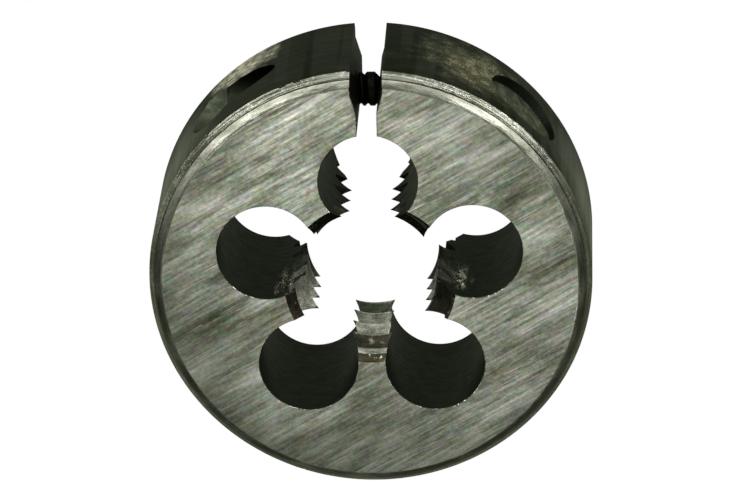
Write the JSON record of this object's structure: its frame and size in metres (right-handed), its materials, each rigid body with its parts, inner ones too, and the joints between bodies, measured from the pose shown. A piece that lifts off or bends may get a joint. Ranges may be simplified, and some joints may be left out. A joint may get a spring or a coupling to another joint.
{
  "type": "round threading die",
  "caption": "Round split die that cuts an external thread by hand: toothed lands between chip holes, a slit with an adjusting screw, and seats in the rim for the screws of a die stock.",
  "frame": {"origin": "centre of the lower face, on the die's axis", "axes": "+Z along the die's axis, from the lower, starting face up to the other face; +Y from the axis towards the split"},
  "size_m": [0.0254, 0.0254, 0.0095],
  "materials": {
    "die_steel": "ground faces over dark hardened steel",
    "screw_steel": "blackened"
  },
  "bodies": {
    "die": {"die_body": "die_steel"},
    "screw": {"adjusting_screw": "screw_steel"}
  },
  "joints": [
    {"name": "screw_turn", "type": "hinge", "parent": "die", "child": "screw", "pos_m": [0, 0.0101, 0.00476], "axis": [1, 0, 0], "range_deg": [-360, 90]}
  ]
}
